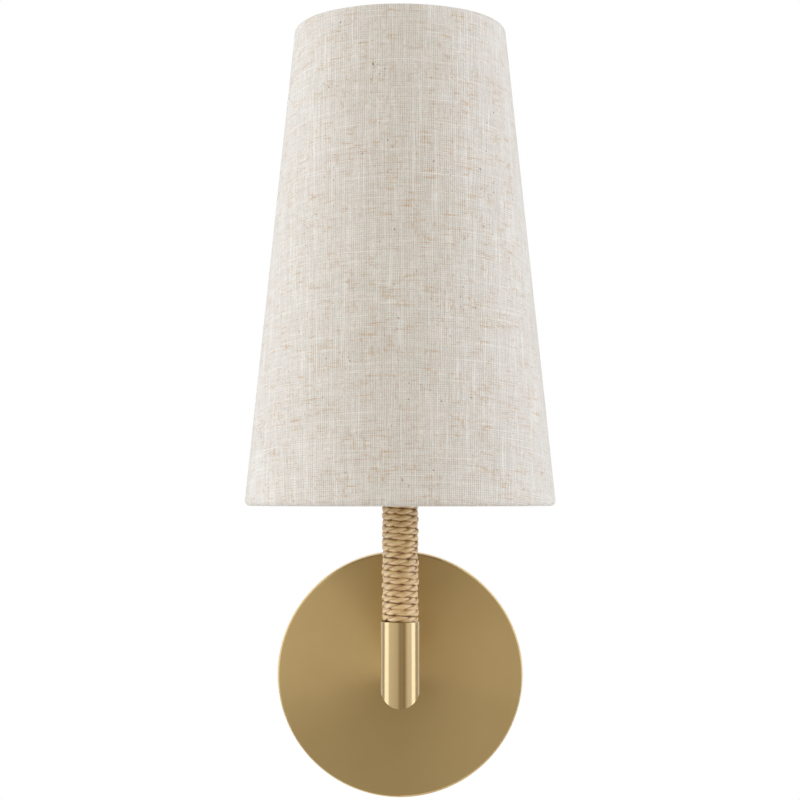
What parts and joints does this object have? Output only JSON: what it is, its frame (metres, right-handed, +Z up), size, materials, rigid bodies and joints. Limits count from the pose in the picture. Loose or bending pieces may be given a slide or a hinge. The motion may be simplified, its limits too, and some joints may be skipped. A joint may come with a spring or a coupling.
{
  "type": "fabric shade wall light",
  "caption": "Wall light with a tapered fabric drum shade on a rope-wound upright stem, a mitred brass elbow arm and a round brass canopy.",
  "frame": {"origin": "on the wall plane, at the centre of the round canopy's back, midway between the wall box's screws", "axes": "+Z up, +X to the right, +Y into the wall; the light stands out from the wall along -Y"},
  "size_m": [0.15, 0.16, 0.3814],
  "materials": {
    "canopy_brass": "satin",
    "arm_brass": "satin",
    "holder_brass": "satin",
    "bare_brass": "polished",
    "zinc_steel": "zinc plated",
    "earth_green": "lacquered",
    "rope": "natural fibre",
    "porcelain": "glazed",
    "holder_black": "moulded",
    "shell_metal": "bright",
    "frame_white": "powder coat",
    "lining_white": "smooth",
    "shade_fabric": "slub weave",
    "opal_glass": "opal",
    "black_glass": "gloss",
    "solder": "dull"
  },
  "bodies": {
    "wall_bracket": {"backplate": "canopy_brass", "mounting_strap": "zinc_steel", "canopy_screws": "bare_brass", "ground_screw": "earth_green", "arm_elbow": "arm_brass", "arm_bush": "bare_brass", "arm_nipple": "zinc_steel", "arm_washer": "zinc_steel", "arm_lock_washer": "zinc_steel", "arm_nut": "bare_brass", "stem_bush": "bare_brass", "stem_tube": "holder_brass", "rope_wrap": "rope", "socket_nipple": "zinc_steel", "socket_cap": "holder_brass", "socket_core": "porcelain", "terminal_screws": "bare_brass", "screw_shell": "shell_metal", "centre_contact": "bare_brass", "socket_skirt": "holder_black"},
    "ring": {"retaining_ring": "holder_black"},
    "shade": {"shade_fitter": "frame_white", "shade_top_ring": "frame_white", "shade_lining": "lining_white", "shade_fabric": "shade_fabric"},
    "lamp": {"bulb_glass": "opal_glass", "bulb_cap": "shell_metal", "bulb_insulator": "black_glass", "bulb_contact": "solder"}
  },
  "joints": [
    {"name": "shade_turn", "type": "hinge", "parent": "wall_bracket", "child": "shade", "pos_m": [0, -0.085, 0.1217], "axis": [0, 0, 1], "continuous": true},
    {"name": "ring_turn", "type": "hinge", "parent": "wall_bracket", "child": "ring", "pos_m": [0, -0.085, 0.1235], "axis": [0, 0, 1], "range_deg": [0, 1080]},
    {"name": "lamp_lift", "type": "slide", "parent": "wall_bracket", "child": "lamp", "axis": [0, 0, 1], "range_m": [0, 0.2]}
  ]
}
